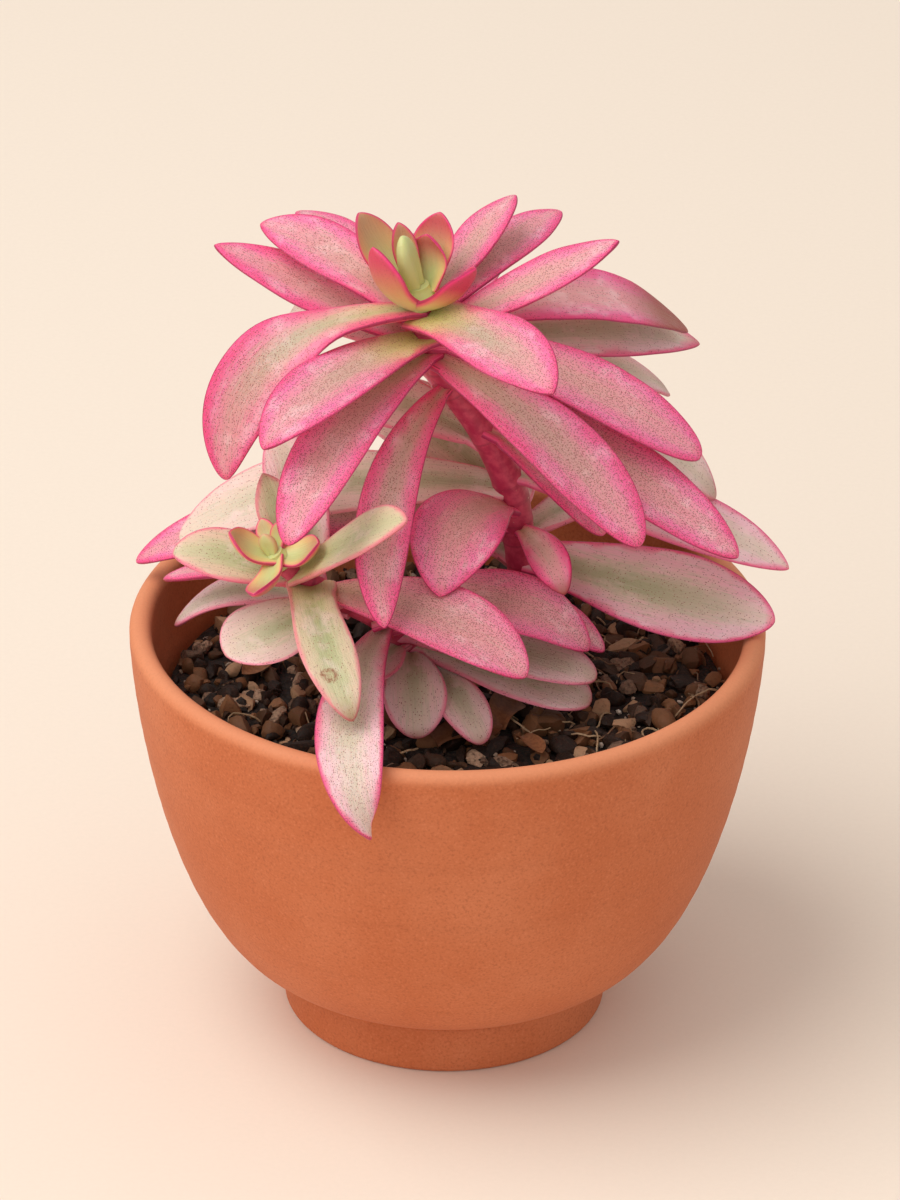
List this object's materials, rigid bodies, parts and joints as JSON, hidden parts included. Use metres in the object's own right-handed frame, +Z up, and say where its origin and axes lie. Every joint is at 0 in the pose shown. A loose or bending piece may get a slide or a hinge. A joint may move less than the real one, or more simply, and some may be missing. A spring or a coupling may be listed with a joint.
{
  "type": "potted crassula",
  "caption": "Variegated pink and cream crassula with a leaning leafy stem and a side rosette, growing in soil in a round footed terracotta bowl.",
  "frame": {"origin": "centre of the pot's flat underside, on the surface that it stands on", "axes": "+Z up along the pot's axis, -Y is the front that the picture shows, +X is the viewer's right"},
  "size_m": [0.124, 0.1283, 0.1632],
  "materials": {
    "terracotta": "matte, unglazed, with a fine sandy grain",
    "soil": "matte, dark potting mix with pumice grains and bark",
    "stem": "satin, smooth red-pink skin",
    "pink_leaf": "satin, fleshy",
    "cream_leaf": "satin, fleshy",
    "green_leaf": "satin, fleshy",
    "young_leaf": "satin, fleshy"
  },
  "bodies": {
    "root": {"pot": "terracotta", "soil": "soil", "main_stem": "stem", "side_stem": "stem", "crown_bud": "young_leaf", "branch_bud": "young_leaf", "back_bud": "young_leaf", "crown_leaf_01": "pink_leaf", "crown_leaf_02": "pink_leaf", "crown_leaf_03": "pink_leaf", "crown_leaf_04": "cream_leaf", "crown_leaf_05": "pink_leaf", "crown_leaf_06": "pink_leaf", "crown_leaf_07": "pink_leaf", "crown_leaf_08": "pink_leaf", "crown_leaf_09": "pink_leaf", "crown_leaf_10": "pink_leaf", "crown_leaf_11": "pink_leaf", "crown_leaf_12": "pink_leaf", "crown_leaf_13": "cream_leaf", "crown_leaf_14": "pink_leaf", "crown_leaf_15": "pink_leaf", "crown_leaf_16": "pink_leaf", "crown_leaf_17": "pink_leaf", "crown_leaf_18": "cream_leaf", "crown_leaf_19": "cream_leaf", "crown_leaf_20": "pink_leaf", "crown_leaf_21": "pink_leaf", "crown_leaf_22": "cream_leaf", "crown_leaf_23": "cream_leaf", "trunk_leaf_01": "pink_leaf", "trunk_leaf_02": "cream_leaf", "trunk_leaf_03": "cream_leaf", "trunk_leaf_04": "pink_leaf", "trunk_leaf_05": "pink_leaf", "trunk_leaf_06": "cream_leaf", "trunk_leaf_07": "cream_leaf", "trunk_leaf_08": "cream_leaf", "trunk_leaf_09": "pink_leaf", "trunk_leaf_10": "cream_leaf", "trunk_leaf_11": "cream_leaf", "trunk_leaf_12": "cream_leaf", "trunk_leaf_13": "cream_leaf", "branch_leaf_01": "green_leaf", "branch_leaf_02": "green_leaf", "branch_leaf_03": "green_leaf", "branch_leaf_04": "green_leaf", "branch_leaf_05": "cream_leaf", "branch_leaf_06": "pink_leaf", "branch_leaf_07": "cream_leaf", "branch_leaf_08": "cream_leaf", "branch_leaf_09": "pink_leaf", "branch_leaf_10": "cream_leaf", "branch_leaf_11": "pink_leaf", "branch_leaf_12": "pink_leaf", "branch_leaf_13": "cream_leaf", "branch_leaf_14": "cream_leaf", "branch_leaf_15": "cream_leaf", "branch_leaf_16": "cream_leaf", "branch_leaf_17": "cream_leaf"}
  },
  "joints": []
}
